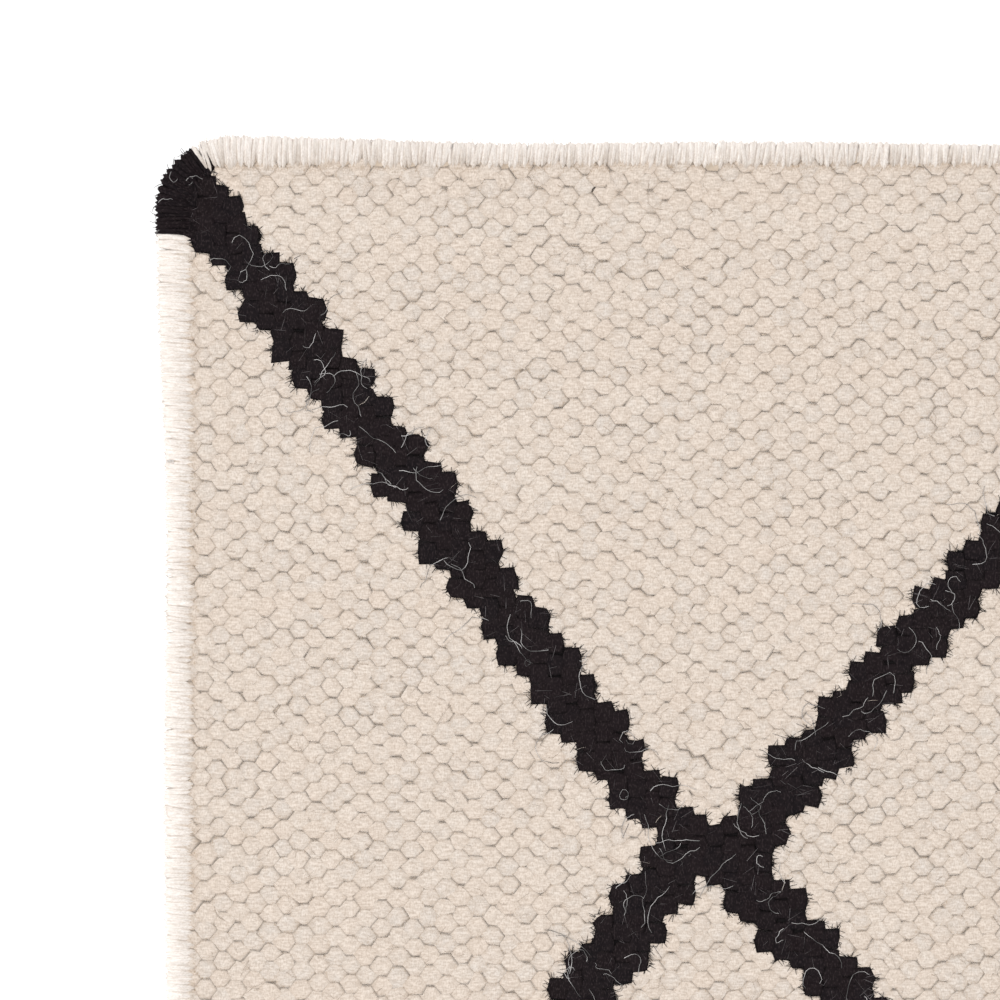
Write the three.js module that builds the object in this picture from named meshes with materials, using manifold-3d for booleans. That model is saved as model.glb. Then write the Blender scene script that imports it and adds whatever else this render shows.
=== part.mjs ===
// A flat-woven wool kilim rug lying on a floor. It is one flat woven field, whose diamond lattice is colour
// alone, and the yarn overcast round its edge, which is dark where the lattice lines run out and pale between.
// Millimetres, +Z up. X runs across the rug along its weft and Y along its warp. The origin is on the floor
// under the middle of the rug.
import * as THREE from 'three';
import { mergeVertices } from 'three/addons/utils/BufferGeometryUtils.js';
import Module from 'manifold-3d';

// Size of the rug between its straight edges
const rugWidth = 664;
const rugLength = 796;
const fieldThickness = 5.2;

// Outline: the corners stand a little proud of sides that drew in on the loom
const cornerRadius = 19;
const sideFlare = 2.8;
const endFlare = 2;
const flareReach = 55;
const edgeWave = 0.4;
const wavesRound = 17;

// Overcast binding, a channel of yarn that grips the thinner rim of the field
const bindingWidth = 7.6;
const bindingThickness = 5.8;
const bindingWall = 1.2;
const lipBevel = 0.6;
const clearance = 0.3;
const roundFacets = 3;

// Stretches of dark yarn, measured along the edge. At a corner it lies more on the long side than on the short
// one, because the lattice lines are steep.
const darkAtCorner = 25;
const cornerLean = 8.7;
const darkAtMiddle = 28;

// Facets of the edge: their spacing along a side, their number round a corner and the shortest one
const sideStep = 30;
const cornerFacets = 6;
const shortestFacet = 1;

const paleWool = { color: 0xe6dcd2, roughness: 0.95, metalness: 0 };
const fieldWool = { color: 0xddcfc2, roughness: 0.95, metalness: 0 };
const darkWool = { color: 0x1f191b, roughness: 0.9, metalness: 0 };

const halfWidth = rugWidth / 2;
const halfLength = rugLength / 2;
const straightX = halfWidth - cornerRadius;
const straightY = halfLength - cornerRadius;

// The plain rounded rectangle, run anticlockwise from the middle of the right side
const plainEdge = new THREE.Path();
plainEdge.moveTo(halfWidth, 0);
plainEdge.lineTo(halfWidth, straightY);
plainEdge.absarc(straightX, straightY, cornerRadius, 0, Math.PI / 2);
plainEdge.lineTo(-straightX, halfLength);
plainEdge.absarc(-straightX, straightY, cornerRadius, Math.PI / 2, Math.PI);
plainEdge.lineTo(-halfWidth, -straightY);
plainEdge.absarc(-straightX, -straightY, cornerRadius, Math.PI, Math.PI * 1.5);
plainEdge.lineTo(straightX, -halfLength);
plainEdge.absarc(straightX, -straightY, cornerRadius, Math.PI * 1.5, Math.PI * 2);
plainEdge.closePath();
const roundLength = plainEdge.getLength();

// How far the real edge stands outside the plain one: proud at the corners, wavering along the sides
function edgeSwell(point, outwards, share) {
  const fromCorner = Math.max(straightX - Math.abs(point.x), straightY - Math.abs(point.y), 0);
  const flare = Math.exp(-((fromCorner / flareReach) ** 2));
  const wave = Math.sin(2 * Math.PI * wavesRound * share);
  const proud = Math.hypot(sideFlare * outwards.x, endFlare * outwards.y);
  return proud * flare + edgeWave * (1 - flare) * wave;
}

// A point at a distance run round the edge, moved inwards by an inset
function edgePoint(run, inset) {
  const share = THREE.MathUtils.euclideanModulo(run / roundLength, 1);
  const point = plainEdge.getPointAt(share);
  const tangent = plainEdge.getTangentAt(share);
  const outwards = new THREE.Vector2(tangent.y, -tangent.x);
  return point.addScaledVector(outwards, edgeSwell(point, outwards, share) - inset);
}

// A stretch of the edge, faceted at its own runs
class EdgeStretch extends THREE.Curve {
  constructor(runs) {
    super();
    this.runs = runs;
  }

  getPoint(share) {
    const place = share * (this.runs.length - 1);
    const index = Math.min(Math.floor(place), this.runs.length - 2);
    const run = THREE.MathUtils.lerp(this.runs[index], this.runs[index + 1], place - index);
    const point = edgePoint(run, 0);
    return new THREE.Vector3(point.x, point.y, 0);
  }

  getPointAt(share) {
    return this.getPoint(share);
  }

  getTangentAt(share) {
    return this.getTangent(share);
  }
}

const arcLength = cornerRadius * Math.PI / 2;
const halfRound = roundLength / 2;

// The runs at which the whole edge is faceted, close together round the corners
function facetRuns() {
  const legs = [
    { length: straightY, facets: Math.ceil(straightY / sideStep) },
    { length: arcLength, facets: cornerFacets },
    { length: 2 * straightX, facets: Math.ceil(2 * straightX / sideStep) },
    { length: arcLength, facets: cornerFacets },
    { length: straightY, facets: Math.ceil(straightY / sideStep) },
  ];
  const runs = [];
  for (const start of [0, halfRound]) {
    let run = start;
    for (const leg of legs) {
      for (let facet = 0; facet < leg.facets; facet += 1) {
        runs.push(run + leg.length * facet / leg.facets);
      }
      run += leg.length;
    }
  }
  return runs;
}

// The facet runs between two places on the edge, and the two places themselves
function runsBetween(from, to) {
  const twiceRound = [-roundLength, 0].flatMap((turn) => facetRuns().map((run) => run + turn));
  const inside = twiceRound.filter((run) => run > from + shortestFacet && run < to - shortestFacet);
  return [from, ...inside, to];
}

// Where the dark stretches lie: the runs to their middles and their lengths
const toFirstCorner = straightY + arcLength / 2 - cornerLean;
const toHead = straightY + arcLength + straightX;
const darkStretches = [
  { place: 'right', middle: 0, length: darkAtMiddle },
  { place: 'head_right', middle: toFirstCorner, length: darkAtCorner },
  { place: 'head', middle: toHead, length: darkAtMiddle },
  { place: 'head_left', middle: halfRound - toFirstCorner, length: darkAtCorner },
  { place: 'left', middle: halfRound, length: darkAtMiddle },
  { place: 'foot_left', middle: halfRound + toFirstCorner, length: darkAtCorner },
  { place: 'foot', middle: halfRound + toHead, length: darkAtMiddle },
  { place: 'foot_right', middle: roundLength - toFirstCorner, length: darkAtCorner },
];

// The dark stretches with a pale one after each, in order round the edge
function edgeStretches() {
  const stretches = [];
  darkStretches.forEach((dark, index) => {
    const next = darkStretches[(index + 1) % darkStretches.length];
    const from = dark.middle - dark.length / 2;
    const to = dark.middle + dark.length / 2;
    const nextMiddle = next.middle + (next.middle < dark.middle ? roundLength : 0);
    const paleEnd = nextMiddle - next.length / 2;
    stretches.push({ name: `binding_dark_${dark.place}`, wool: darkWool, from, to });
    stretches.push({ name: `binding_pale_${index + 1}`, wool: paleWool, from: to, to: paleEnd });
  });
  return stretches;
}

// The binding's channel section. It is swept with its first axis down and its second one inwards.
function bindingSection() {
  const crown = bindingThickness / 2;
  const slotBottom = -bindingWall;
  const slotTop = bindingWall - bindingThickness;
  const section = new THREE.Shape();
  section.moveTo(0, bindingWidth);
  section.lineTo(0, crown);
  section.absarc(-crown, crown, crown, 0, Math.PI, true);
  section.lineTo(-bindingThickness, bindingWidth - lipBevel);
  section.lineTo(lipBevel - bindingThickness, bindingWidth);
  section.lineTo(slotTop, bindingWidth);
  section.lineTo(slotTop, bindingWall);
  section.lineTo(slotBottom, bindingWall);
  section.lineTo(slotBottom, bindingWidth);
  section.closePath();
  return section;
}

function bindingGeometry(stretch) {
  const runs = runsBetween(stretch.from + clearance / 2, stretch.to - clearance / 2);
  return new THREE.ExtrudeGeometry(bindingSection(), {
    extrudePath: new EdgeStretch(runs),
    steps: runs.length - 1,
    curveSegments: roundFacets,
  });
}

// A flat plate with the rug's outline, moved inwards by an inset
function edgePlate(inset, bottom, top) {
  const outline = facetRuns().map((run) => edgePoint(run, inset));
  const plate = new THREE.ExtrudeGeometry(new THREE.Shape(outline), {
    depth: top - bottom,
    bevelEnabled: false,
  });
  return plate.translate(0, 0, bottom);
}

function toSolid(wasm, geometry) {
  const bare = geometry.clone();
  bare.deleteAttribute('normal');
  bare.deleteAttribute('uv');
  const merged = mergeVertices(bare);
  return new wasm.Manifold(new wasm.Mesh({
    numProp: 3,
    vertProperties: new Float32Array(merged.attributes.position.array),
    triVerts: new Uint32Array(merged.index.array),
  }));
}

function fromSolid(solid) {
  const mesh = solid.getMesh();
  const geometry = new THREE.BufferGeometry();
  geometry.setAttribute('position', new THREE.BufferAttribute(mesh.vertProperties, 3));
  geometry.setIndex(new THREE.BufferAttribute(mesh.triVerts, 1));
  geometry.computeVertexNormals();
  return geometry;
}

// The woven field: full thickness inside the binding, and a thinner rim out into the binding's channel
function fieldGeometry(wasm) {
  const shoulder = bindingWidth + clearance;
  const rimInset = bindingWall + clearance;
  const rimBottom = bindingWall + clearance;
  const rimTop = bindingThickness - bindingWall - clearance;
  const body = toSolid(wasm, edgePlate(shoulder, 0, fieldThickness));
  const rim = toSolid(wasm, edgePlate(rimInset, rimBottom, rimTop));
  return fromSolid(body.add(rim));
}

function namedMesh(name, geometry, wool) {
  const mesh = new THREE.Mesh(geometry, new THREE.MeshStandardMaterial(wool));
  mesh.name = name;
  return mesh;
}

const wasm = await Module();
wasm.setup();

const rug = new THREE.Group();
rug.add(namedMesh('field', fieldGeometry(wasm), fieldWool));
for (const stretch of edgeStretches()) {
  rug.add(namedMesh(stretch.name, bindingGeometry(stretch), stretch.wool));
}

export default rug;
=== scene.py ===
from math import pi

import bpy
import numpy as np
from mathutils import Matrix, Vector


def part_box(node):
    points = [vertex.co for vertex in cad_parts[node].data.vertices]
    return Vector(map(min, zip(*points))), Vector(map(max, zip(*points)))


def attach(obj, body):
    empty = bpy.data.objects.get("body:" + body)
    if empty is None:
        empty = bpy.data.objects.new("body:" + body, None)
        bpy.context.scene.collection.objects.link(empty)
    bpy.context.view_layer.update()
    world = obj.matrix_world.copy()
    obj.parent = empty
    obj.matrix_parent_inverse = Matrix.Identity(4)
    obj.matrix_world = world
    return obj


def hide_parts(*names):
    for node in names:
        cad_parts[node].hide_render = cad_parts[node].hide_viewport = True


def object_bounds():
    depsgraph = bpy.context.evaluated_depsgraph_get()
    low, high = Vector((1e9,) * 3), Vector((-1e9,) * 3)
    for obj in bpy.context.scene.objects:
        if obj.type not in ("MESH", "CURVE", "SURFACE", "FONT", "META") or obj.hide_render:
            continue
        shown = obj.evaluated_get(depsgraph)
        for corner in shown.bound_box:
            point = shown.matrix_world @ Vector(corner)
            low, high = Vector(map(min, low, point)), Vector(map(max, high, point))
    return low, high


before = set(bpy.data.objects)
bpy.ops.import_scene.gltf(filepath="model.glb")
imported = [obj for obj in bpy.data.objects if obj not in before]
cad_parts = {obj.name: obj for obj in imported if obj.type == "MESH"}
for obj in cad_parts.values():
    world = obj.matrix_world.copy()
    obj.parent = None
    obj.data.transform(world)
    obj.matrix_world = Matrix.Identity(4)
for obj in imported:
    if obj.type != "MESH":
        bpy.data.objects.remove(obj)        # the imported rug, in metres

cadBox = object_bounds()
cadHigh = cadBox[1]
rng = np.random.default_rng(11)

# The rug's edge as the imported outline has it: sides that drew in between corners that stand proud
edge = {
    "sideFlare": 0.0028,
    "endFlare": 0.002,
    "flareReach": 0.055,
    "wave": 0.0004,
    "waves": 17,
    "cornerRadius": 0.019,
}
halfWidth = cadHigh.x - edge["sideFlare"]
halfLength = cadHigh.y - edge["endFlare"]
straightX = halfWidth - edge["cornerRadius"]
straightY = halfLength - edge["cornerRadius"]
arcLength = edge["cornerRadius"] * pi / 2
roundLength = 4 * (straightX + straightY + arcLength)

# Plain weave: warps run along the rug, and each weft float passes over one warp
weave = {
    "warps": 148,
    "rows": 296,
    "sideCover": 0.0079,      # how far the binding reaches in over the field, at the sides and the ends
    "endCover": 0.0068,
    "underBinding": 0.5,      # how far the floats go on under it, in pitches
    "warpWander": ((0.0005, 0, 41, 1.3), (0.0003, 13, 97, 0.4)),    # size, waves across and along, start
    "rowWander": ((0.0007, 33, 0, 0.7), (0.0004, 71, 17, 2.1)),
}
warpPitch = 2 * halfWidth / weave["warps"]
rowPitch = 2 * halfLength / weave["rows"]

# Diamond lattice, in warps counted from the left side and weft rows counted from the head
lattice = {
    "columns": (-0.35, 34.1, 74, 113.9, 148.35),   # where lines meet, across
    "rows": (0, 74, 148, 222, 296),                # where lines meet, along
    "halfLine": 2.1,                               # half the width of a line, in warps
    "jog": 1.55,                                   # how far lines that meet inside the field stay apart
    "rightJog": 0.65,                              # and those that leave the place to the right
    "waist": 2.85,                                 # half width of the narrow place there
    "waistOpens": 1.0,                             # warps it widens by in each row above and below
    "waistStep": 0.8,                              # rows from its middle up to its left tip
    "waistRows": 2.0,
    "waistReach": 9,                               # warps each way in which the lines stop for it
    "filled": (1.6, 2.9),                          # half size of the filled place between the lines
}
lineCount = len(lattice["columns"]) - 1
bandCount = len(lattice["rows"]) - 1


def edgePlace(run):
    # the plain edge at distances run round it, anticlockwise from the middle of the right side
    legs = np.array([straightY, arcLength, 2 * straightX, arcLength, 2 * straightY, arcLength,
                     2 * straightX, arcLength, straightY])
    ends = np.cumsum(legs)
    run = np.mod(run, roundLength)
    leg = np.minimum(np.searchsorted(ends, run, side="right"), len(legs) - 1)
    along = run - (ends - legs)[leg]
    onArc = leg % 2 == 1
    angle = (leg // 2 + np.where(onArc, along / arcLength, 0)) * pi / 2
    corners = np.array([(straightX, straightY), (-straightX, straightY),
                        (-straightX, -straightY), (straightX, -straightY)])
    corner = corners[np.where(onArc, leg // 2, leg // 2 - 1) % 4]
    outward = np.stack([np.cos(angle), np.sin(angle)], 1)
    forward = np.stack([-np.sin(angle), np.cos(angle)], 1)
    past = np.where(onArc, 0, along + np.where(leg == 0, straightY, 0))
    point = corner + outward * edge["cornerRadius"] + forward * past[:, None]
    fromCorner = np.maximum(np.maximum(straightX - abs(point[:, 0]), straightY - abs(point[:, 1])), 0)
    flare = np.exp(-(fromCorner / edge["flareReach"]) ** 2)
    wave = np.sin(2 * pi * edge["waves"] * run / roundLength)
    proud = np.hypot(edge["sideFlare"] * outward[:, 0], edge["endFlare"] * outward[:, 1])
    swell = proud * flare + edge["wave"] * (1 - flare) * wave
    return point, outward, forward, swell


def wander(x, y, waves):
    total = 0
    for size, across, along, start in waves:
        total = total + size * np.sin(x * across + y * along + start)
    return total


def handWoven(x, y):
    # warps and rows wander a little, as beaten down by hand
    return x + wander(x, y, weave["warpWander"]), y + wander(x, y, weave["rowWander"])


def lineCentres(row):
    # the warps at which the lattice lines lie, for each weft row
    columns, rows = lattice["columns"], lattice["rows"]
    centres = np.empty((len(row), lineCount))
    for band in range(bandCount):
        here = (row >= rows[band]) & (row < rows[band + 1])
        share = (row[here] - rows[band]) / (rows[band + 1] - rows[band])
        for line in range(lineCount):
            start, end = (line, line + 1) if (band + line) % 2 == 0 else (line + 1, line)
            lean = 1 if end > start else -1
            meetsAbove = 0 < start < lineCount and band > 0
            meetsBelow = 0 < end < lineCount and band < bandCount - 1
            startJog = lattice["rightJog" if lean > 0 else "jog"] if meetsAbove else 0
            endJog = lattice["jog"] if meetsBelow else 0
            first = columns[start] + lean * startJog
            last = columns[end] - lean * endJog
            centres[here, line] = first + share * (last - first)
    return centres


def inLattice(warp, row):
    # whether a float is dark: on a line, or in the notched block where lines meet inside the field
    dark = (abs(warp[:, None] - lineCentres(row)) < lattice["halfLine"]).any(1)
    for column in range(1, lineCount):
        for band in range(1, bandCount):
            if (column + band) % 2 == 0:
                across, along = warp - lattice["columns"][column], row - lattice["rows"][band]
                dark |= (abs(across) < lattice["filled"][0]) & (abs(along) < lattice["filled"][1])
                fromTip = abs(along - lattice["waistStep"] * np.sign(across))
                notch = abs(across) > lattice["waist"] + lattice["waistOpens"] * fromTip
                dark &= ~(notch & (abs(across) < lattice["waistReach"]) & (fromTip < lattice["waistRows"]))
    return dark


def bounded(shape):
    # chance numbers about nought, with no far ones
    return np.clip(rng.standard_normal(shape), -2, 2)


def meshFromArrays(name, points, triangles, flat):
    # a joined mesh, smooth all over except for the flat triangles
    mesh = bpy.data.meshes.new(name)
    mesh.vertices.add(len(points))
    mesh.vertices.foreach_set("co", np.ascontiguousarray(points, np.float32).ravel())
    mesh.loops.add(triangles.size)
    mesh.loops.foreach_set("vertex_index", np.ascontiguousarray(triangles, np.int32).ravel())
    mesh.polygons.add(len(triangles))
    mesh.polygons.foreach_set("loop_start", np.arange(0, triangles.size, 3, dtype=np.int32))
    mesh.polygons.foreach_set("use_smooth", ~flat)
    mesh.update(calc_edges=True)
    piece = bpy.data.objects.new(name, mesh)
    bpy.context.scene.collection.objects.link(piece)
    return piece


def repeated(triangles, n, k):
    # the triangles of one modelled piece of k points, for n of them
    return (triangles[None] + (np.arange(n) * k)[:, None, None]).reshape(-1, 3)


def addMap(piece, name, places):
    # a UV map from one place for each point
    mesh = piece.data
    corner = np.empty(len(mesh.loops), np.int32)
    mesh.loops.foreach_get("vertex_index", corner)
    layer = mesh.uv_layers.new(name=name)
    layer.data.foreach_set("uv", np.ascontiguousarray(places.reshape(-1, 2)[corner], np.float32).ravel())


def addTone(piece, warmthAndShade, height, chance):
    # warmth of the yarn, with painted shade on the binding's end turns, its height on the yarn, which sets
    # the painted shade of creases, sides and grooves, and a chance number, one set for each point
    tone = np.stack(np.broadcast_arrays(warmthAndShade, height, chance, 1.0), -1)
    layer = piece.data.color_attributes.new(name="yarnTone", type="FLOAT_COLOR", domain="POINT")
    layer.data.foreach_set("color", np.ascontiguousarray(tone, np.float32).ravel())


def modelled(piece):
    # the points and triangles of a modelled piece, which is then removed
    bpy.ops.object.mode_set(mode="EDIT")
    bpy.ops.mesh.select_all(action="SELECT")
    bpy.ops.mesh.quads_convert_to_tris()
    bpy.ops.object.mode_set(mode="OBJECT")
    mesh = piece.data
    points = np.empty(len(mesh.vertices) * 3)
    mesh.vertices.foreach_get("co", points)
    triangles = np.array([list(face.vertices) for face in mesh.polygons])
    bpy.data.objects.remove(piece)
    return points.reshape(-1, 3), triangles


# Wool materials. Maps on the yarn are in millimetres, and each yarn takes its own stretch of the fibres.

mapScale = 1000
mapSpread = 60
fibre = {
    "strandDetail": 3.0,
    "strandRoughness": 0.65,
    "strandDistortion": 0.3,
    "patchScale": 0.45,
    "patchDetail": 2.0,
    "fleckScale": (2.3, 1.1, 1),     # along the yarn and across it
    "fleckDetail": 1.5,
    "noise": (0.3, 0.7),             # where the noise mostly lies
    "streaks": (0.4, 0.62),
    "speckles": (0.38, 0.62),
    "flecks": (0.58, 0.68),
    "fleckShare": 0.8,
    "coolFrom": 0.4,                 # the chance number from which a yarn turns cool
    "coolShare": 0.8,
    "roughness": (1.0, 0.82),
    "sheenRoughness": 0.6,
    "bumpHeight": 0.0003,
}


def addNode(tree, kind, **settings):
    node = tree.nodes.new(kind)
    for key, value in settings.items():
        setattr(node, key, value)
    return node


def addNoise(tree, place, scale, detail, dimensions):
    noise = addNode(tree, "ShaderNodeTexNoise", noise_dimensions=dimensions)
    noise.inputs["Scale"].default_value = scale
    noise.inputs["Detail"].default_value = detail
    tree.links.new(place, noise.inputs["Vector"])
    return noise


def addMath(tree, operation, first, second=0.0):
    node = addNode(tree, "ShaderNodeMath", operation=operation)
    for socket, value in zip(node.inputs, (first, second)):
        if isinstance(value, float):
            socket.default_value = value
        else:
            tree.links.new(value, socket)
    return node.outputs[0]


def addBump(tree, shader, height, strength, distance):
    bump = addNode(tree, "ShaderNodeBump")
    bump.inputs["Strength"].default_value = strength
    bump.inputs["Distance"].default_value = distance
    tree.links.new(height, bump.inputs["Height"])
    tree.links.new(bump.outputs["Normal"], shader.inputs["Normal"])


def mapRange(tree, source, fromRange, toRange):
    node = addNode(tree, "ShaderNodeMapRange")
    node.inputs["From Min"].default_value, node.inputs["From Max"].default_value = fromRange
    node.inputs["To Min"].default_value, node.inputs["To Max"].default_value = toRange
    tree.links.new(source, node.inputs["Value"])
    return node.outputs["Result"]


def mixColours(tree, share, first, second, blend="MIX"):
    node = addNode(tree, "ShaderNodeMix", data_type="RGBA", blend_type=blend)
    for socket, value in ((node.inputs[0], share), (node.inputs[6], first), (node.inputs[7], second)):
        if isinstance(value, (float, int)):
            socket.default_value = value
        elif isinstance(value, tuple):
            socket.default_value = (*value, 1)
        else:
            tree.links.new(value, socket)
    return node.outputs[2]


def tinted(tree, plain, body, tint):
    # the body colour times a tint, and by itself where plain is one
    return mixColours(tree, plain, mixColours(tree, 1.0, body, tint, "MULTIPLY"), body)


def woolFibres():
    # streaks of fibre along a yarn, fine across it and long along it
    group = bpy.data.node_groups.new("woolFibres", "ShaderNodeTree")
    group.interface.new_socket("Place", in_out="INPUT", socket_type="NodeSocketVector")
    for name in ("Along", "Across"):
        group.interface.new_socket(name, in_out="INPUT", socket_type="NodeSocketFloat")
    for name in ("Strand", "Patch", "Fleck"):
        group.interface.new_socket(name, in_out="OUTPUT", socket_type="NodeSocketFloat")
    start = addNode(group, "NodeGroupInput")
    end = addNode(group, "NodeGroupOutput")
    scales = addNode(group, "ShaderNodeCombineXYZ")
    group.links.new(start.outputs["Along"], scales.inputs["X"])
    group.links.new(start.outputs["Across"], scales.inputs["Y"])
    stretched = addNode(group, "ShaderNodeVectorMath", operation="MULTIPLY")
    group.links.new(start.outputs["Place"], stretched.inputs[0])
    group.links.new(scales.outputs[0], stretched.inputs[1])
    strand = addNoise(group, stretched.outputs[0], 1.0, fibre["strandDetail"], "2D")
    strand.inputs["Roughness"].default_value = fibre["strandRoughness"]
    strand.inputs["Distortion"].default_value = fibre["strandDistortion"]
    patch = addNoise(group, start.outputs["Place"], fibre["patchScale"], fibre["patchDetail"], "2D")
    fleckScale = addNode(group, "ShaderNodeVectorMath", operation="MULTIPLY")
    fleckScale.inputs[1].default_value = fibre["fleckScale"]
    group.links.new(start.outputs["Place"], fleckScale.inputs[0])
    fleck = addNoise(group, fleckScale.outputs[0], 1.0, fibre["fleckDetail"], "2D")
    for name, noise in (("Strand", strand), ("Patch", patch), ("Fleck", fleck)):
        group.links.new(noise.outputs["Fac"], end.inputs[name])
    return group


fibreGroup = woolFibres()


def padShaded(tree, body, fleck, chance, look):
    # a float is a round pad, so the room round it lies in soft shade
    pad = addNode(tree, "ShaderNodeUVMap", uv_map="padMap")
    fromMiddle = addNode(tree, "ShaderNodeVectorMath", operation="LENGTH")
    tree.links.new(pad.outputs["UV"], fromMiddle.inputs[0])
    fray = mapRange(tree, fleck, fibre["noise"], (-look["padFray"], look["padFray"]))
    frayed = addMath(tree, "ADD", fromMiddle.outputs["Value"], fray)
    rim = mapRange(tree, frayed, (look["padFrom"], look["padTo"]), (0, 1))
    share = mapRange(tree, chance, (0, 1), (look["padLeast"], 1))
    shaded = mixColours(tree, 1.0, body, look["padRimShade"], "MULTIPLY")
    return mixColours(tree, addMath(tree, "MULTIPLY", rim, share), body, shaded)


def yarnMaterial(name, look):
    material = bpy.data.materials.new(name)
    material.use_nodes = True
    tree = material.node_tree
    shader = tree.nodes["Principled BSDF"]
    shader.inputs["Specular IOR Level"].default_value = look["shine"]
    shader.inputs["Sheen Weight"].default_value = look["sheen"]
    shader.inputs["Sheen Roughness"].default_value = fibre["sheenRoughness"]
    place = addNode(tree, "ShaderNodeUVMap", uv_map="yarnMap")
    tone = addNode(tree, "ShaderNodeAttribute", attribute_name="yarnTone")
    parts = addNode(tree, "ShaderNodeSeparateColor")
    tree.links.new(tone.outputs["Color"], parts.inputs["Color"])
    warmthAndShade, height, chance = parts.outputs["Red"], parts.outputs["Green"], parts.outputs["Blue"]
    fibres = addNode(tree, "ShaderNodeGroup", node_tree=fibreGroup)
    fibres.inputs["Along"].default_value = look["along"]
    fibres.inputs["Across"].default_value = look["across"]
    tree.links.new(place.outputs["UV"], fibres.inputs["Place"])
    strand, patch, fleck = fibres.outputs["Strand"], fibres.outputs["Patch"], fibres.outputs["Fleck"]

    body = mixColours(tree, warmthAndShade, look["pale"], look["warmAndShade"])
    cool = mapRange(tree, chance, (fibre["coolFrom"], 1), (0, fibre["coolShare"]))
    body = mixColours(tree, cool, body, look["cool"])
    inPatch = mapRange(tree, patch, fibre["noise"], (0, look["patchShare"]))
    body = mixColours(tree, inPatch, body, look["patch"])
    body = tinted(tree, mapRange(tree, strand, fibre["streaks"], (0, 1)), body, look["streak"])
    # painted shade: the yarn is tinted darker where it lies low, in the creases between floats, at the
    # sides of the binding's turns and in the groove beside the field
    fray = mapRange(tree, fleck, fibre["noise"], (-look["fray"], look["fray"]))
    frayed = addMath(tree, "ADD", height, fray)
    outOfPaintedShade = mapRange(tree, frayed, (look["paintedShadeFrom"], look["paintedShadeTo"]), (0, 1))
    body = tinted(tree, outOfPaintedShade, body, look["paintedShade"])
    body = tinted(tree, mapRange(tree, fleck, fibre["speckles"], (0, 1)), body, look["speckle"])
    if "padRimShade" in look:
        body = padShaded(tree, body, fleck, chance, look)
    # flecks where the yarn lies low: on the cream and pale yarn painted shade in the creases and grooves;
    # on the dark yarn they lie all over, as painted fibre highlights
    lowYarn = mapRange(tree, height, (look["fleckTo"], look["fleckFrom"]), (0, 1))
    onFleck = mapRange(tree, fleck, fibre["flecks"], (0, fibre["fleckShare"]))
    body = mixColours(tree, addMath(tree, "MULTIPLY", onFleck, lowYarn), body, look["fleck"])
    tree.links.new(body, shader.inputs["Base Color"])
    roughness = mapRange(tree, strand, fibre["noise"], fibre["roughness"])
    tree.links.new(roughness, shader.inputs["Roughness"])
    addBump(tree, shader, strand, look["bump"], fibre["bumpHeight"])
    return material


creamYarn = yarnMaterial("creamYarn", {
    "pale": (0.748, 0.673, 0.603),
    "warmAndShade": (0.729, 0.631, 0.547),
    "cool": (0.700, 0.641, 0.588),
    "patch": (0.748, 0.644, 0.556),
    "patchShare": 0.5,
    "streak": (0.82, 0.80, 0.78),
    "speckle": (0.86, 0.845, 0.83),
    # brown flecks low in the creases: painted shade
    "fleck": (0.38, 0.28, 0.19),
    "fleckFrom": 0.3,
    "fleckTo": 0.75,
    # painted shade in the creases between floats
    "paintedShade": (0.88, 0.84, 0.80),
    "paintedShadeFrom": 0.0,
    "paintedShadeTo": 0.45,
    "fray": 0.6,
    # painted shade round each round pad
    "padRimShade": (0.70, 0.64, 0.57),
    "padFrom": 0.72,
    "padTo": 1.2,
    "padFray": 0.42,
    "padLeast": 0.2,         # the least share of that shade that a float has
    "along": 0.5,
    "across": 1.6,
    "bump": 0.3,
    "sheen": 0.15,
    "shine": 0.15,
})
darkYarn = yarnMaterial("darkYarn", {
    "pale": (0.015, 0.0105, 0.0120),
    "warmAndShade": (0.012, 0.0085, 0.0092),
    "cool": (0.010, 0.0085, 0.0100),
    "patch": (0.020, 0.0150, 0.0160),
    "patchShare": 0.6,
    "streak": (0.9, 0.9, 0.9),
    "speckle": (0.85, 0.85, 0.85),
    # lighter flecks all over the dark yarn: painted fibre highlights
    "fleck": (0.032, 0.024, 0.025),
    "fleckFrom": 1.0,
    "fleckTo": 1.2,
    # painted shade low on the dark floats
    "paintedShade": (0.55, 0.55, 0.55),
    "paintedShadeFrom": 0.0,
    "paintedShadeTo": 0.6,
    "fray": 0.3,
    "along": 0.6,
    "across": 2.2,
    "bump": 0.12,
    "sheen": 0.0,
    "shine": 0.03,
})
paleYarn = yarnMaterial("paleYarn", {
    "pale": (0.97, 0.92, 0.88),
    # darker colour that paints shade on the turns at the rug's ends
    "warmAndShade": (0.56, 0.49, 0.43),
    "cool": (0.88, 0.83, 0.79),
    "patch": (0.87, 0.79, 0.72),
    "patchShare": 0.4,
    "streak": (0.86, 0.84, 0.82),
    "speckle": (0.95, 0.94, 0.93),
    # brown flecks in the groove and at the sides of the turns: painted shade
    "fleck": (0.48, 0.38, 0.30),
    "fleckFrom": 0.0,
    "fleckTo": 0.5,
    # painted shade at the sides of each turn and in the groove beside the field
    "paintedShade": (0.80, 0.76, 0.715),
    "paintedShadeFrom": 0.0,
    "paintedShadeTo": 0.7,
    "fray": 0.25,
    "along": 0.3,
    "across": 2.4,
    "bump": 0.5,
    "sheen": 0.5,
    "shine": 0.15,
})
print("wool materials made")

# Ground of the weave, under the floats

ground = {
    "top": 0.00497,
    "inset": 0.003,
    "cornerCut": 0.012,
    "cornerFacets": 4,
    "darkSpread": 1.4,        # how far its dark lines spread under the floats beside them
    "lineSoftness": 0.004,
    # the ground's cream is darker than the yarn over it: painted shade for the gaps between floats
    "deep": (0.46, 0.36, 0.27),
    "light": (0.68, 0.58, 0.48),
    "dark": (0.008, 0.0065, 0.007),
    "shine": 0.1,
    "roughness": (0.85, 1.0),
    "grainScale": 420.0,
    "grainDetail": 3.0,
    "grain": 0.6,             # height of the grain, beside that of the weave
    "bump": 0.8,
    "bumpHeight": 0.0008,
}


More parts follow.
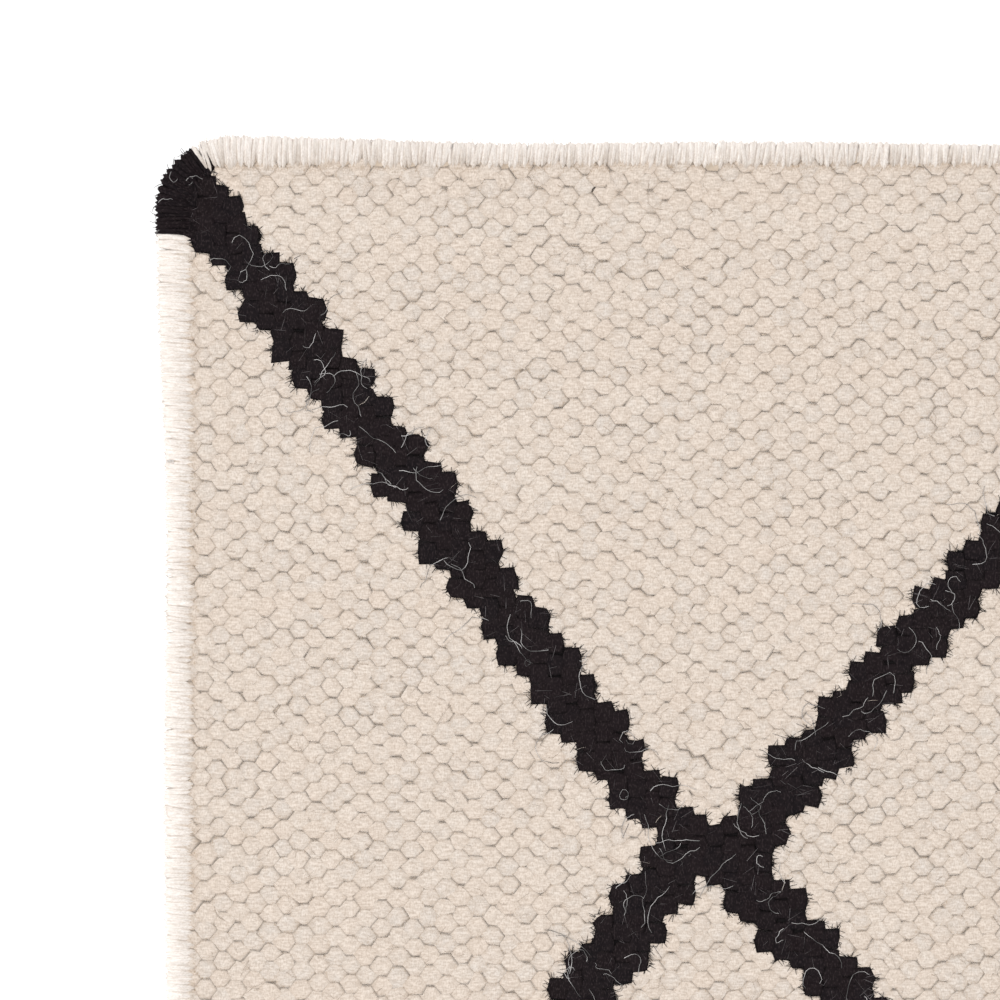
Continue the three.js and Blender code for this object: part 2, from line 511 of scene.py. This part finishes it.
def groundMaterial():
    # the back shows the same lattice, and its weave is a low egg-crate
    material = bpy.data.materials.new("groundWeave")
    material.use_nodes = True
    tree = material.node_tree
    shader = tree.nodes["Principled BSDF"]
    shader.inputs["Specular IOR Level"].default_value = ground["shine"]
    place = addNode(tree, "ShaderNodeTexCoord")
    parts = addNode(tree, "ShaderNodeSeparateXYZ")
    tree.links.new(place.outputs["Object"], parts.inputs[0])
    placeX, placeY = parts.outputs["X"], parts.outputs["Y"]

    # column and row count half diamonds from the middle, and their sum or difference is even on a line
    innerX, outerX = [(warp - weave["warps"] / 2) * warpPitch for warp in lattice["columns"][-2:]]
    across = addMath(tree, "ABSOLUTE", placeX)
    inner = mapRange(tree, across, (0, innerX), (0, 1))
    outer = mapRange(tree, across, (innerX, outerX), (0, 1))
    column = addMath(tree, "ADD", inner, outer)
    row = addMath(tree, "DIVIDE", addMath(tree, "ABSOLUTE", placeY), 2 * halfLength / bandCount)
    falling = addMath(tree, "PINGPONG", addMath(tree, "ADD", column, row), 1.0)
    rising = addMath(tree, "PINGPONG", addMath(tree, "SUBTRACT", column, row), 1.0)
    nearest = addMath(tree, "MINIMUM", falling, rising)
    halfLine = lattice["halfLine"] / (lattice["columns"][1] - lattice["columns"][0])
    halfDark = halfLine * ground["darkSpread"]
    softness = ground["lineSoftness"]
    dark = mapRange(tree, nearest, (halfDark - softness, halfDark + softness), (1, 0))
    noise = addNoise(tree, place.outputs["Object"], ground["grainScale"], ground["grainDetail"], "3D")
    grain = noise.outputs["Fac"]
    cream = mixColours(tree, grain, ground["deep"], ground["light"])
    tree.links.new(mixColours(tree, dark, cream, ground["dark"]), shader.inputs["Base Color"])
    tree.links.new(mapRange(tree, grain, fibre["noise"], ground["roughness"]), shader.inputs["Roughness"])
    overWarp = addMath(tree, "COSINE", addMath(tree, "MULTIPLY", placeX, pi / warpPitch))
    overRow = addMath(tree, "COSINE", addMath(tree, "MULTIPLY", placeY, pi / rowPitch))
    crate = addMath(tree, "MULTIPLY", overWarp, overRow)
    grained = addMath(tree, "ADD", crate, addMath(tree, "MULTIPLY", grain, ground["grain"]))
    addBump(tree, shader, grained, ground["bump"], ground["bumpHeight"])
    return material


bpy.ops.object.select_all(action="DESELECT")
bpy.ops.mesh.primitive_plane_add(size=2, location=(0, 0, 0))
groundSheet = bpy.context.object
groundSheet.name = "groundSheet"
bpy.ops.object.mode_set(mode="EDIT")
bpy.ops.transform.resize(value=(halfWidth - ground["inset"], halfLength - ground["inset"], 1))
bpy.ops.transform.translate(value=(0, 0, ground["top"]))
bpy.ops.mesh.bevel(offset=ground["cornerCut"], segments=ground["cornerFacets"], affect="VERTICES")
bpy.ops.object.mode_set(mode="OBJECT")
wall = groundSheet.modifiers.new("wall", "SOLIDIFY")
wall.thickness = ground["top"]
wall.offset = -1
bpy.ops.object.modifier_apply(modifier="wall")
groundSheet.data.materials.append(groundMaterial())
print("ground sheet made")

# Weft floats: one pillow of yarn is modelled, then set over every other warp of every row

weft = {
    "ring": 0.7071,          # height and radius of the sphere's middle ring, which becomes the shoulder
    "shoulder": 0.72,        # how wide and how high the shoulder is, of the whole pillow
    "shoulderHeight": 0.86,
    "rim": 0.1,              # height in the pillow up to which a point is on its rim
    "crown": 0.0052,
    "root": 0.00500,
    "darkRise": 0.00012,     # how far the felted dark yarn stands above the cream
    "darkRoot": 0.5,         # how high the rim of a dark float is, of the way up to its crown
    "cornerAngle": 62,       # degrees from the weft to the corners of a cream and of a dark float
    "blockAngle": 50,
    "blockTip": 0.0031,      # how far a dark float reaches at its tips and at its corners
    "blockCorner": 0.0039,
    "overlap": 0.00035,      # how far two floats press into each other
    "facing": 0.7,           # how squarely a corner faces the two neighbours that bound it
    "fill": 0.8,             # how far it goes past the nearer one to fill the room beside it
    "reachLimits": (0.0024, 0.0044),
    "felted": 0.7,           # how far up the sides of two floats may have felted together
    "feltedPower": 1.4,      # above one, so few have felted that far
    "unevenPlace": 0.00032,
    "unevenSize": 0.09,
    "unevenCrown": 0.00003,
    "tilt": 0.00004,
    "ragged": 0.04,
    "unevenTurn": 0.1,       # how far the corners of a float turn from their places, in radians
    "unevenBlock": 0.08,
    "tipReach": 1.08,        # its tips slide in under its neighbours, and its corners stay short of them
    "cornerReach": 0.93,
    "tipShadeFloor": 0.5,          # how light the yarn stays at the tips, against the painted crease shade
    "rowTone": 0.5,          # how far the floats of a row share one tone
    "padSize": 0.9,          # size of the round pad in a float, of its mean reach
    "fibreTaper": 0.6,       # how far the fibres draw together at the tips
    "groove": 0.0014,        # how far the binding's shade reaches, and how light the yarn stays in it
    "grooveShadeFloor": 0.1,
    "bands": 4,              # pieces along the rug, so that none has too many triangles
}

bpy.ops.object.select_all(action="DESELECT")
bpy.ops.mesh.primitive_uv_sphere_add(segments=6, ring_count=4, radius=1, location=(0, 0, 0))
pillow = bpy.context.object
bpy.ops.object.mode_set(mode="EDIT")
bpy.ops.mesh.bisect(plane_co=(0, 0, 0), plane_no=(0, 0, 1), clear_inner=True, use_fill=True)
bpy.ops.mesh.select_all(action="DESELECT")
bpy.ops.object.mode_set(mode="OBJECT")
for point in pillow.data.vertices:
    point.select = weft["rim"] < point.co.z < 1 - weft["rim"]
bpy.ops.object.mode_set(mode="EDIT")
widen = weft["shoulder"] / weft["ring"]
bpy.ops.transform.resize(value=(widen, widen, 1))
bpy.ops.transform.translate(value=(0, 0, weft["shoulderHeight"] - weft["ring"]))
pillowPoints, pillowTriangles = modelled(pillow)
pillowRim = pillowPoints[:, 2] < weft["rim"]
pillowUnder = pillowRim[pillowTriangles].all(1)
print("pillow of", len(pillowPoints), "points and", len(pillowTriangles), "triangles")

rows, warps = np.mgrid[0:weave["rows"], 0:weave["warps"]]
gridX, gridY = handWoven((warps + 0.5) * warpPitch - halfWidth, halfLength - (rows + 0.5) * rowPitch)
gridX = gridX + weft["unevenPlace"] * rng.standard_normal(gridX.shape)
gridY = gridY + weft["unevenPlace"] * rng.standard_normal(gridY.shape)
shown = (rows + warps) % 2 == 0
shown &= (rows > 1) & (rows < weave["rows"] - 2) & (warps > 0) & (warps < weave["warps"] - 1)
shown &= abs(gridX) < halfWidth - weave["sideCover"] + weave["underBinding"] * warpPitch
shown &= abs(gridY) < halfLength - weave["endCover"] + weave["underBinding"] * rowPitch
row, warp, floatX, floatY = rows[shown], warps[shown], gridX[shown], gridY[shown]
floatCount = len(row)
isDark = inLattice(warp + 0.5, row + 0.5)
darkNodes = [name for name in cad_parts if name.startswith("binding_dark")]
darkBoxes = [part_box(name) for name in darkNodes]
for low, high in darkBoxes:
    isDark |= (floatX > low[0]) & (floatX < high[0]) & (floatY > low[1]) & (floatY < high[1])
gridSize = 1 + weft["unevenSize"] * bounded(gridX.shape)


def sixCorners(angle):
    # a tip at each end of the float, and two corners between them on each side
    return np.radians([0, angle, 180 - angle, 180, 180 + angle, 360 - angle])


tips, sides = [0, 3], [1, 2, 4, 5]
diagonals = ((-1, -1), (-1, 1), (1, -1), (1, 1))       # the nearest floats, by row and warp

# each cream float fills the room its neighbours leave it, so its six corners reach out to them
corners = sixCorners(weft["cornerAngle"])
shortest, longest = weft["reachLimits"]
least, most = np.full((floatCount, 6), longest), np.full((floatCount, 6), shortest)
ownSize = gridSize[row, warp]
for dRow, dWarp in (*diagonals, (-2, 0), (2, 0)):
    toX = gridX[row + dRow, warp + dWarp] - floatX
    toY = gridY[row + dRow, warp + dWarp] - floatY
    apart = np.hypot(toX, toY)
    ownShare = ownSize / (ownSize + gridSize[row + dRow, warp + dWarp])
    facing = (toX[:, None] * np.cos(corners) + toY[:, None] * np.sin(corners)) / apart[:, None]
    limit = (apart * ownShare + weft["overlap"])[:, None] / np.maximum(facing, weft["facing"])
    bounds = facing > weft["facing"]
    least = np.where(bounds, np.minimum(least, limit), least)
    most = np.where(bounds, np.maximum(most, limit), most)
reach = np.clip(least + weft["fill"] * (most - least), shortest, longest)
reach[:, tips] *= weft["tipReach"]
reach[:, sides] *= weft["cornerReach"]
# a dark float is a block over its own warp
blockCorners = sixCorners(weft["blockAngle"])
corners = np.where(isDark[:, None], blockCorners, corners)
corners = corners + weft["unevenTurn"] * rng.standard_normal((floatCount, 6))
tip, corner = weft["blockTip"], weft["blockCorner"]
blockReach = np.array([tip, corner, corner, tip, corner, corner])
blockSize = 1 + weft["unevenBlock"] * bounded((floatCount, 6))
reach = np.where(isDark[:, None], blockReach * blockSize, reach)
crowns = weft["crown"] + weft["unevenCrown"] * bounded(floatCount) + weft["darkRise"] * isDark
rowTone = rng.random(weave["rows"])
tones = weft["rowTone"] * rowTone[row] + (1 - weft["rowTone"]) * rng.random(floatCount)


def setFloats(name, chosen, material):
    n, k = len(chosen), len(pillowPoints)
    turn = np.floor(np.arctan2(pillowPoints[:, 1], pillowPoints[:, 0]) / (pi / 3)).astype(int) % 6
    out = np.hypot(pillowPoints[:, 0], pillowPoints[:, 1])
    out = out * reach[chosen][:, turn] * (1 + weft["ragged"] * rng.standard_normal((n, k)))
    angle = corners[chosen][:, turn]
    x, y = out * np.cos(angle), out * np.sin(angle)
    feltedUp = weft["felted"] * rng.random((n, k)) ** weft["feltedPower"]
    up = pillowPoints[None, :, 2] + pillowRim * feltedUp
    up = np.where(isDark[chosen, None], weft["darkRoot"] + (1 - weft["darkRoot"]) * up, up)
    tilt = weft["tilt"] * rng.standard_normal((n, 2, 1)) / warpPitch
    z = weft["root"] + up * (crowns[chosen] - weft["root"])[:, None]
    z = z + (tilt[:, 0] * x + tilt[:, 1] * y) * up
    points = np.stack([floatX[chosen, None] + x, floatY[chosen, None] + y, z], 2)
    triangles = repeated(pillowTriangles, n, k)
    piece = meshFromArrays(name, points.reshape(-1, 3), triangles, np.tile(pillowUnder, n))
    taper = np.sqrt(1 - weft["fibreTaper"] * np.clip(abs(x) / warpPitch, 0, 1) ** 2)
    spread = rng.random((n, 1, 2)) * mapSpread
    addMap(piece, "yarnMap", np.stack([x, y / taper], 2) * mapScale + spread)
    padSize = weft["padSize"] * reach[chosen].mean(1)
    addMap(piece, "padMap", np.stack([x, y], 2) / padSize[:, None, None])
    # painted shade: the yarn is darker near the binding, in its shade, and where it lies low in the
    # creases
    fromBinding = np.minimum(halfWidth - weave["sideCover"] - abs(points[:, :, 0]),
                             halfLength - weave["endCover"] - abs(points[:, :, 1]))
    groove = np.clip(abs(fromBinding) / weft["groove"], weft["grooveShadeFloor"], 1)
    lightUp = np.maximum(up, weft["tipShadeFloor"] * np.isin(turn, tips))
    addTone(piece, tones[chosen, None], groove * lightUp, rng.random((n, 1)))
    piece.data.materials.append(material)
    return piece


floatPieces = []
for band in range(weft["bands"]):
    inBand = (row * weft["bands"] // weave["rows"] == band) & ~isDark
    creamFloats = setFloats(f"creamFloats{band + 1}", np.flatnonzero(inBand), creamYarn)
    floatPieces.append(creamFloats)
darkFloats = setFloats("darkFloats", np.flatnonzero(isDark), darkYarn)
floatPieces.append(darkFloats)
print("weft floats set:", floatCount, "of them dark:", int(isDark.sum()))

# Overcast binding: one turn of yarn is modelled, then laid side by side round the edge

binding = {
    "pitch": 0.00104,
    "yarn": 0.0018,
    "lean": 0.0006,
    "unevenPitch": 0.14,
    "unevenReach": 0.0004,
    "unevenLean": 1.2,
    "unevenYarn": 0.1,
    "unevenHeight": 0.03,
    "ragged": 0.00016,       # how unevenly the turns lie at the outer edge
    "slack": 0.0002,         # how far past a dark stretch's box its turns may lie
    "groove": 0.3,           # share of a turn that lies in the groove beside the field
    "grooveShadeFloor": 0.1,       # how light the yarn stays under the painted shade there and at its sides
    "sideShadeFloor": 0.3,
    "endShade": 0.25,       # least painted shade of the turns at the rug's ends, darker than at the sides as the light falls, and the warmth that chance adds to all
    "unevenWarmth": 0.1,
    "outerShadeLeft": 0.3,      # share of that painted shade and warmth left at the outer edge, which is painted lighter, as painted light
}

# inset from the outer edge as a share of the cover, and height of the yarn's centreline,
# from the upper lip round to the lower one
turnPath = [
    (1.00, 0.0042), (0.80, 0.0050), (0.34, 0.0050), (0.11, 0.0040),
    (0.12, 0.0016), (1.00, 0.0009),
]
bpy.ops.object.select_all(action="DESELECT")
bpy.ops.curve.primitive_nurbs_path_add(location=(0, 0, 0))
turnCurve = bpy.context.object
turnCurve.data.splines.clear()
spline = turnCurve.data.splines.new("POLY")
spline.points.add(len(turnPath) - 1)
for point, (share, height) in zip(spline.points, turnPath):
    point.co = (share * weave["sideCover"], 0, height, 1)
turnCurve.data.bevel_depth = binding["yarn"] / 2
turnCurve.data.bevel_resolution = 0
turnCurve.data.use_fill_caps = True
bpy.ops.object.convert(target="MESH")
yarnTurn = bpy.context.object
turnPoints, turnTriangles = modelled(yarnTurn)
print("turn of yarn of", len(turnPoints), "points and", len(turnTriangles), "triangles")

turnCount = int(roundLength / binding["pitch"])
turnRun = np.arange(turnCount) + binding["unevenPitch"] * rng.standard_normal(turnCount)
turnRun = turnRun * roundLength / turnCount
turnPlace, turnOutward, turnForward, turnSwell = edgePlace(turnRun)
turnEdge = turnPlace + turnOutward * turnSwell[:, None]
turnDark = np.zeros(turnCount, bool)
for low, high in darkBoxes:
    aboveLow = (turnEdge > np.array(low[:2]) - binding["slack"]).all(1)
    belowHigh = (turnEdge < np.array(high[:2]) + binding["slack"]).all(1)
    turnDark |= aboveLow & belowHigh


def setTurns(name, chosen, material, nodes):
    n, k = len(chosen), len(turnPoints)
    outward, forward = turnOutward[chosen], turnForward[chosen]
    cover = np.hypot(weave["sideCover"] * outward[:, 0], weave["endCover"] * outward[:, 1])
    cover = cover + binding["unevenReach"] * rng.standard_normal(n)
    share = turnPoints[None, :, 0] / weave["sideCover"]
    swell = turnSwell[chosen, None]
    ragged = binding["ragged"] * rng.standard_normal((n, 1))
    inset = share * (cover[:, None] + swell) - swell + ragged * (1 - share)
    lean = binding["lean"] * (1 + binding["unevenLean"] * rng.standard_normal((n, 1)))
    thick = 1 + binding["unevenYarn"] * rng.standard_normal((n, 1))
    sideways = turnPoints[None, :, 1] * thick + lean * (share - 0.5)
    flat = turnPlace[chosen, None] - outward[:, None] * inset[:, :, None]
    flat = flat + forward[:, None] * sideways[:, :, None]
    height = turnPoints[None, :, 2] * (1 + binding["unevenHeight"] * rng.standard_normal((n, 1)))
    points = np.concatenate([flat, np.maximum(height, 0)[:, :, None]], 2)
    triangles = repeated(turnTriangles, n, k)
    piece = meshFromArrays(name, points.reshape(-1, 3), triangles, np.zeros(len(triangles), bool))
    spread = rng.random((n, 1, 2)) * mapSpread
    along = np.broadcast_to(turnPoints[None, :, 0] + turnPoints[None, :, 2], (n, k))
    addMap(piece, "yarnMap", np.stack([along, sideways], 2) * mapScale + spread)
    # painted shade on the sides of each turn and in the groove beside the field
    side = 1 - np.clip(abs(turnPoints[None, :, 1]) / (binding["yarn"] / 2), 0, 1)
    side = binding["sideShadeFloor"] + (1 - binding["sideShadeFloor"]) * side
    groove = np.clip((1 - share) / binding["groove"], binding["grooveShadeFloor"], 1)
    # the turns at the rug's ends are painted darker than those at the sides, as painted shade for the
    # light from the side; chance adds warmth to all
    uneven = rng.random((n, 1))
    atEnds = binding["endShade"] + (1 - binding["endShade"]) * uneven ** 2
    warmthAndShade = abs(outward[:, 1:2]) * atEnds + binding["unevenWarmth"] * uneven
    # painted light: the turns are lighter towards the outer edge
    warmthAndShade = warmthAndShade * (binding["outerShadeLeft"] + (1 - binding["outerShadeLeft"]) * np.clip(share, 0, 1))
    addTone(piece, warmthAndShade, side * groove, rng.random((n, 1)))
    piece.data.materials.append(material)
    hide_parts(*nodes)
    return piece


paleNodes = [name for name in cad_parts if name.startswith("binding_pale")]
paleTurns = setTurns("paleOvercast", np.flatnonzero(~turnDark), paleYarn, paleNodes)
darkTurns = setTurns("darkOvercast", np.flatnonzero(turnDark), darkYarn, darkNodes)
print("overcast turns laid:", turnCount, "of them dark:", int(turnDark.sum()))

# Loose fibres, each kind one joined mesh of many hairs

hair = {
    "oneWay": 0.6,           # how far a hair bends one way, beside how far it wavers
    "arch": (0.1, 0.95),     # the stretch of a half wave that its rise follows
    "shine": 0.2,
    "noiseScale": 160.0,
    "noiseDetail": 2.0,
    "shades": (0.35, 0.65),  # where the noise goes from the first colour to the second
    "roughness": (0.6, 0.9),
}


def curlyPaths(kind, starts, headings, lengths, lifts):
    # centrelines that wander over the face, bending mostly one way
    n, k = len(starts), kind["points"]
    oneWay = hair["oneWay"] * kind["curl"] * rng.standard_normal((n, 1))
    bend = oneWay + kind["curl"] * rng.standard_normal((n, k - 1))
    angle = headings[:, None] + np.cumsum(bend, 1)
    step = (lengths / (k - 1))[:, None]
    still = np.zeros((n, 1))
    x = starts[:, :1] + np.concatenate([still, np.cumsum(step * np.cos(angle), 1)], 1)
    y = starts[:, 1:2] + np.concatenate([still, np.cumsum(step * np.sin(angle), 1)], 1)
    arch = np.sin(np.linspace(*hair["arch"], k) * pi)[None]
    z = starts[:, 2:3] + lifts[:, None] * arch
    return np.stack([x, y, z], 2)


def setHairs(name, kind, paths, material):
    # three-sided strands along the centrelines, closed at both ends
    n, k = paths.shape[:2]
    tangent = np.gradient(paths, axis=1)
    tangent /= np.linalg.norm(tangent, axis=2, keepdims=True)
    side = np.stack([-tangent[:, :, 1], tangent[:, :, 0], np.zeros((n, k))], 2)
    side /= np.maximum(np.linalg.norm(side, axis=2, keepdims=True), 1e-6)
    over = np.cross(tangent, side)
    thick = kind["radius"] * (1 - kind["taper"] * np.linspace(0, 1, k))[None, :, None, None]
    sides = 3
    turn = (0.5 + 2 * np.arange(sides) / sides) * pi
    ring = side[:, :, None] * np.cos(turn)[:, None] + over[:, :, None] * np.sin(turn)[:, None]
    points = (paths[:, :, None] + thick * ring).reshape(-1, 3)
    last = sides * (k - 1)
    faces = [(0, 2, 1), (last, last + 1, last + 2)]
    for step in range(k - 1):
        for corner in range(sides):
            here, across = sides * step + corner, sides * step + (corner + 1) % sides
            faces += [(here, across, across + sides), (here, across + sides, here + sides)]
    triangles = repeated(np.array(faces), n, sides * k)
    piece = meshFromArrays(name, points, triangles, np.zeros(len(triangles), bool))
    piece.data.materials.append(material)
    return piece


def hairMaterial(name, kind):
    material = bpy.data.materials.new(name)
    material.use_nodes = True
    tree = material.node_tree
    shader = tree.nodes["Principled BSDF"]
    shader.inputs["Specular IOR Level"].default_value = hair["shine"]
    place = addNode(tree, "ShaderNodeTexCoord")
    noise = addNoise(tree, place.outputs["Object"], hair["noiseScale"], hair["noiseDetail"], "3D")
    share = mapRange(tree, noise.outputs["Fac"], hair["shades"], (0, 1))
    tree.links.new(mixColours(tree, share, *kind["colours"]), shader.inputs["Base Color"])
    roughness = mapRange(tree, noise.outputs["Fac"], fibre["noise"], hair["roughness"])
    tree.links.new(roughness, shader.inputs["Roughness"])
    return material


def between(limits, n):
    return limits[0] + (limits[1] - limits[0]) * rng.random(n)


def raised(flat, height):
    return np.column_stack([flat, np.full(len(flat), height)])


def startsOn(kind, chosen):
    # places near the middles of the chosen floats
    flat = np.stack([floatX[chosen], floatY[chosen]], 1)
    return raised(flat + kind["wander"] * rng.standard_normal((len(chosen), 2)), kind["height"])


darkOnes, creamOnes = np.flatnonzero(isDark), np.flatnonzero(~isDark)

# pale coarse hairs on the dark yarn, a few of them on the binding
paleHair = {
    "onDark": 900,
    "onBinding": 40,
    "length": (0.005, 0.017),
    "bindingLength": (0.002, 0.006),
    "radius": 0.00011,
    "taper": 0.3,
    "height": 0.0053,
    "bindingHeight": 0.0058,
    "wander": 0.0015,
    "points": 11,
    "curl": 0.36,
    "lift": 0.0005,
    "colours": ((0.10, 0.095, 0.095), (0.66, 0.64, 0.63)),
}
onTurns = rng.choice(np.flatnonzero(turnDark), paleHair["onBinding"])
inward = weave["endCover"] * rng.random((len(onTurns), 1))
onBinding = raised(turnEdge[onTurns] - turnOutward[onTurns] * inward, paleHair["bindingHeight"])
onDark = startsOn(paleHair, rng.choice(darkOnes, paleHair["onDark"]))
starts = np.concatenate([onDark, onBinding])
lengths = np.concatenate([between(paleHair["length"], paleHair["onDark"]),
                          between(paleHair["bindingLength"], paleHair["onBinding"])])
headings = 2 * pi * rng.random(len(starts))
lifts = paleHair["lift"] * rng.random(len(starts))
paths = curlyPaths(paleHair, starts, headings, lengths, lifts)
paleHairs = setHairs("paleHairs", paleHair, paths, hairMaterial("paleHair", paleHair))

# fine hairs on the cream yarn
creamHair = {
    "count": 7000,
    "length": (0.002, 0.006),
    "radius": 0.00008,
    "taper": 0.4,
    "height": 0.00515,
    "wander": 0.002,
    "points": 3,
    "curl": 0.5,
    "lift": 0.0004,
    "alongWeft": 0.6,        # share of them that follow the weft
    "unevenHeading": 0.35,
    "colours": ((0.50, 0.41, 0.33), (0.90, 0.83, 0.76)),
}
count = creamHair["count"]
starts = startsOn(creamHair, rng.choice(creamOnes, count))
alongWeft = pi * rng.integers(0, 2, count) + creamHair["unevenHeading"] * rng.standard_normal(count)
followsWeft = rng.random(count) < creamHair["alongWeft"]
headings = np.where(followsWeft, alongWeft, 2 * pi * rng.random(count))
lengths = between(creamHair["length"], count)
lifts = creamHair["lift"] * rng.random(count)
paths = curlyPaths(creamHair, starts, headings, lengths, lifts)
creamHairs = setHairs("creamHairs", creamHair, paths, hairMaterial("creamHair", creamHair))

# short dim hairs on the dark yarn
dimHair = {
    "count": 3600,
    "length": (0.002, 0.005),
    "radius": 0.00009,
    "taper": 0.4,
    "height": 0.00525,
    "wander": 0.0015,
    "points": 2,
    "curl": 0.3,
    "lift": 0.0003,
    "colours": ((0.030, 0.025, 0.026), (0.20, 0.18, 0.185)),
}
count = dimHair["count"]
starts = startsOn(dimHair, rng.choice(darkOnes, count))
headings = 2 * pi * rng.random(count)
lengths = between(dimHair["length"], count)
lifts = dimHair["lift"] * rng.random(count)
paths = curlyPaths(dimHair, starts, headings, lengths, lifts)
dimHairs = setHairs("dimHairs", dimHair, paths, hairMaterial("dimHair", dimHair))

# dark floats beside a cream one throw short fuzz over it
rimFuzz = {
    "onEach": 10,
    "length": (0.0008, 0.0024),
    "radius": 0.00012,
    "taper": 0.5,
    "height": 0.0052,
    "wander": 0.0,
    "inside": 0.88,          # where it starts, of the way out to the side of the float
    "points": 2,
    "curl": 0.35,
    "lift": 0.0003,
    "unevenHeading": 0.9,
    "colours": ((0.010, 0.008, 0.009), (0.022, 0.017, 0.018)),
}
darkAt = np.zeros((weave["rows"] + 2, weave["warps"] + 2), bool)      # with a margin of one all round
darkAt[row + 1, warp + 1] = isDark
rimFloats, rimSides = [], []
for dRow, dWarp in diagonals:
    isCream = ~darkAt[row[darkOnes] + 1 + dRow, warp[darkOnes] + 1 + dWarp]
    rimFloats.append(darkOnes[isCream])
    rimSides.append(np.tile((dWarp, -dRow), (isCream.sum(), 1)))
fuzzFloats = np.tile(np.concatenate(rimFloats), rimFuzz["onEach"])
fuzzSides = np.tile(np.concatenate(rimSides), (rimFuzz["onEach"], 1))
count = len(fuzzFloats)
blockX, blockY = corner * np.cos(blockCorners[1]), corner * np.sin(blockCorners[1])
alongRim = 2 * rng.random(count)                       # up the side of the block, then in along its end
onSide = alongRim < 1
rimX = np.where(onSide, tip + (blockX - tip) * alongRim, blockX * (2 - alongRim))
rimY = np.where(onSide, blockY * alongRim, blockY)
starts = startsOn(rimFuzz, fuzzFloats)
starts[:, :2] += rimFuzz["inside"] * np.stack([rimX, rimY], 1) * fuzzSides
headings = np.where(onSide, np.where(fuzzSides[:, 0] > 0, 0, pi), pi / 2 * fuzzSides[:, 1])
headings = headings + rimFuzz["unevenHeading"] * rng.standard_normal(count)
lengths = between(rimFuzz["length"], count)
paths = curlyPaths(rimFuzz, starts, headings, lengths, np.full(count, rimFuzz["lift"]))
darkFuzz = setHairs("darkFuzz", rimFuzz, paths, hairMaterial("darkFuzz", rimFuzz))
print("hairs laid, and dark fuzz:", count)

# fuzz that stands out round the edge
edgeFuzz = {
    "pitch": 0.0014,
    "length": (0.0014, 0.0030),
    "radius": 0.00013,
    "taper": 0.6,
    "heights": (0.001, 0.005),
    "inset": 0.0008,
    "points": 3,
    "curl": 0.4,
    "lift": 0.0003,
    "unevenHeading": 0.6,
    "colours": ((0.80, 0.74, 0.69), (0.92, 0.87, 0.83)),
}
count = int(roundLength / edgeFuzz["pitch"])
run = np.sort(rng.random(count)) * roundLength
place, outward, forward, swell = edgePlace(run)
onDarkTurn = turnDark[np.searchsorted(turnRun, run).clip(0, turnCount - 1)]
heights = between(edgeFuzz["heights"], count)
starts = raised(place + outward * (swell - edgeFuzz["inset"])[:, None], heights)
headings = np.arctan2(outward[:, 1], outward[:, 0])
headings = headings + edgeFuzz["unevenHeading"] * rng.standard_normal(count)
lengths = between(edgeFuzz["length"], count)
paths = curlyPaths(edgeFuzz, starts, headings, lengths, np.full(count, edgeFuzz["lift"]))
paleEdgeFuzz = setHairs("paleEdgeFuzz", edgeFuzz, paths[~onDarkTurn],
                        hairMaterial("paleFuzz", edgeFuzz))
darkEdgeFuzz = setHairs("darkEdgeFuzz", edgeFuzz, paths[onDarkTurn],
                        bpy.data.materials["darkFuzz"])
print("edge fuzz:", count)

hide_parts("field")
rugPieces = [groundSheet, *floatPieces, paleTurns, darkTurns, paleHairs, creamHairs, dimHairs, darkFuzz]
rugPieces += [paleEdgeFuzz, darkEdgeFuzz]
for piece in rugPieces:
    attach(piece, "root")

# Floor, light and camera

studio = {
    "floor": 14,
    "floorDrop": 0.0003,
    "floorColour": (0.93, 0.93, 0.93, 1),
    "floorRoughness": 0.9,
    "floorGlow": 0.35,
    "dome": 1.14,
    "keyPower": 16,
    "keySize": 1.6,
    "keyPlace": (-2.2, 0.1, 1.5),
    "lens": 180,
    "distance": 1.4075,
    "centre": (-0.2378, 0.2976),
    "farthest": 60,
}
white = (1, 1, 1, 1)
bpy.ops.object.select_all(action="DESELECT")
bpy.ops.mesh.primitive_plane_add(size=studio["floor"], location=(0, 0, -studio["floorDrop"]))
floor = bpy.context.object
floor.name = "floor"
floorPaint = bpy.data.materials.new("floorPaint")
floorPaint.use_nodes = True
paint = floorPaint.node_tree.nodes["Principled BSDF"]
paint.inputs["Base Color"].default_value = studio["floorColour"]
paint.inputs["Roughness"].default_value = studio["floorRoughness"]
paint.inputs["Emission Color"].default_value = white
paint.inputs["Emission Strength"].default_value = studio["floorGlow"]
floor.data.materials.append(floorPaint)

world = bpy.data.worlds.new("studioDome")
world.use_nodes = True
sky = world.node_tree.nodes["Background"]
sky.inputs["Color"].default_value = white
sky.inputs["Strength"].default_value = studio["dome"]
bpy.context.scene.world = world
bpy.ops.object.light_add(type="AREA", location=studio["keyPlace"])
key = bpy.context.object
key.data.energy = studio["keyPower"]
key.data.size = studio["keySize"]
aim = bpy.data.objects.new("keyAim", None)
bpy.context.scene.collection.objects.link(aim)
toRug = key.constraints.new("TRACK_TO")
toRug.target = aim
bpy.context.scene.view_settings.view_transform = "Standard"

bpy.ops.object.camera_add(location=(*studio["centre"], studio["distance"]), rotation=(0, 0, 0))
camera = bpy.context.object
camera.data.lens = studio["lens"]
camera.data.clip_end = studio["farthest"]
bpy.context.scene.camera = camera
print("studio set")
